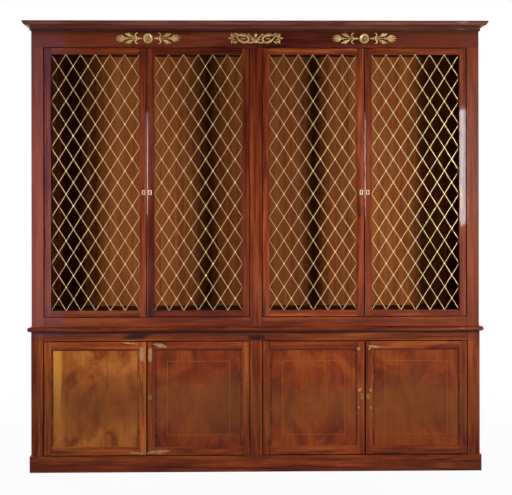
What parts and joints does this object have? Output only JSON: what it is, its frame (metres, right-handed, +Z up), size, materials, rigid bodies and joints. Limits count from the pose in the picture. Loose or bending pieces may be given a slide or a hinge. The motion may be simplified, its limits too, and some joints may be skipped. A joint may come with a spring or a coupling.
{
  "type": "breakfront bookcase",
  "caption": "Mahogany bookcase in two cases with gilt-mounted frieze: brass lattice doors above a moulded waist, panelled cupboard doors below, on a plain plinth.",
  "frame": {"origin": "on the floor, under the middle of the whole piece", "axes": "+X to the right along the front, +Y back to the wall, +Z up"},
  "size_m": [2.482, 0.466, 2.4],
  "materials": {
    "mahogany": "polished reddish mahogany veneer",
    "mahogany_panel": "polished flame mahogany veneer, more orange",
    "inner_wood": "stained inner wood, low sheen",
    "brass": "aged yellow brass",
    "gilt": "gilt bronze, chased",
    "lock_iron": "dark iron"
  },
  "bodies": {
    "carcass": {"pivot_sockets": "brass", "plinth": "mahogany", "lower_back_frame": "inner_wood", "lower_back_panels": "inner_wood", "upper_back_frame": "inner_wood", "upper_back_panels": "inner_wood", "lower_floor": "inner_wood", "lower_partition": "inner_wood", "lower_left_side": "mahogany", "lower_right_side": "mahogany", "upper_floor": "inner_wood", "upper_ceiling": "inner_wood", "upper_partition": "inner_wood", "upper_left_side": "mahogany", "upper_right_side": "mahogany", "dust_board": "inner_wood", "lower_shelves": "inner_wood", "lower_shelf_bearers": "inner_wood", "lower_face_frame": "mahogany", "upper_face_frame": "mahogany", "frieze": "mahogany", "waist_top": "mahogany", "cornice": "mahogany", "shelf_racks": "inner_wood", "left_frieze_mount": "gilt", "centre_frieze_mount": "gilt", "right_frieze_mount": "gilt"},
    "upper_leaf_1": {"upper_door_1_frame": "mahogany", "upper_door_1_grille": "brass", "upper_door_1_brass": "brass"},
    "upper_leaf_2": {"upper_door_2_frame": "mahogany", "upper_door_2_grille": "brass", "upper_door_2_brass": "brass", "upper_left_lock": "lock_iron"},
    "upper_leaf_3": {"upper_door_3_frame": "mahogany", "upper_door_3_grille": "brass", "upper_door_3_brass": "brass"},
    "upper_leaf_4": {"upper_door_4_frame": "mahogany", "upper_door_4_grille": "brass", "upper_door_4_brass": "brass", "upper_right_lock": "lock_iron"},
    "upper_left_lockbolt": {"upper_left_bolt": "lock_iron"},
    "upper_right_lockbolt": {"upper_right_bolt": "lock_iron"},
    "lower_leaf_1": {"lower_door_1_frame": "mahogany", "lower_door_1_panel": "mahogany_panel", "lower_door_1_brass": "brass"},
    "lower_leaf_2": {"lower_door_2_frame": "mahogany", "lower_door_2_panel": "mahogany_panel", "lower_door_2_brass": "brass", "lower_left_lock": "lock_iron"},
    "lower_leaf_3": {"lower_door_3_frame": "mahogany", "lower_door_3_panel": "mahogany_panel", "lower_door_3_brass": "brass"},
    "lower_leaf_4": {"lower_door_4_frame": "mahogany", "lower_door_4_panel": "mahogany_panel", "lower_door_4_brass": "brass", "lower_right_lock": "lock_iron"},
    "lower_left_lockbolt": {"lower_left_bolt": "lock_iron"},
    "lower_right_lockbolt": {"lower_right_bolt": "lock_iron"}
  },
  "joints": [
    {"name": "upper_door_1_hinge", "type": "hinge", "parent": "carcass", "child": "upper_leaf_1", "pos_m": [-1.1215, -0.182, 1.5405], "axis": [0, 0, -1], "range_deg": [0, 110]},
    {"name": "upper_door_2_hinge", "type": "hinge", "parent": "carcass", "child": "upper_leaf_2", "pos_m": [-0.0415, -0.182, 1.5405], "axis": [0, 0, 1], "range_deg": [0, 90]},
    {"name": "upper_door_3_hinge", "type": "hinge", "parent": "carcass", "child": "upper_leaf_3", "pos_m": [0.0415, -0.182, 1.5405], "axis": [0, 0, -1], "range_deg": [0, 90]},
    {"name": "upper_door_4_hinge", "type": "hinge", "parent": "carcass", "child": "upper_leaf_4", "pos_m": [1.1215, -0.182, 1.5405], "axis": [0, 0, 1], "range_deg": [0, 110]},
    {"name": "upper_left_bolt_slide", "type": "slide", "parent": "upper_leaf_2", "child": "upper_left_lockbolt", "axis": [-1, 0, 0], "range_m": [0, 0.009]},
    {"name": "upper_right_bolt_slide", "type": "slide", "parent": "upper_leaf_4", "child": "upper_right_lockbolt", "axis": [-1, 0, 0], "range_m": [0, 0.009]},
    {"name": "lower_door_1_hinge", "type": "hinge", "parent": "carcass", "child": "lower_leaf_1", "pos_m": [-1.1215, -0.202, 0.3915], "axis": [0, 0, -1], "range_deg": [0, 110]},
    {"name": "lower_door_2_hinge", "type": "hinge", "parent": "carcass", "child": "lower_leaf_2", "pos_m": [-0.0415, -0.202, 0.3915], "axis": [0, 0, 1], "range_deg": [0, 90]},
    {"name": "lower_door_3_hinge", "type": "hinge", "parent": "carcass", "child": "lower_leaf_3", "pos_m": [0.0415, -0.202, 0.3915], "axis": [0, 0, -1], "range_deg": [0, 90]},
    {"name": "lower_door_4_hinge", "type": "hinge", "parent": "carcass", "child": "lower_leaf_4", "pos_m": [1.1215, -0.202, 0.3915], "axis": [0, 0, 1], "range_deg": [0, 110]},
    {"name": "lower_left_bolt_slide", "type": "slide", "parent": "lower_leaf_2", "child": "lower_left_lockbolt", "axis": [-1, 0, 0], "range_m": [0, 0.009]},
    {"name": "lower_right_bolt_slide", "type": "slide", "parent": "lower_leaf_4", "child": "lower_right_lockbolt", "axis": [-1, 0, 0], "range_m": [0, 0.009]}
  ]
}
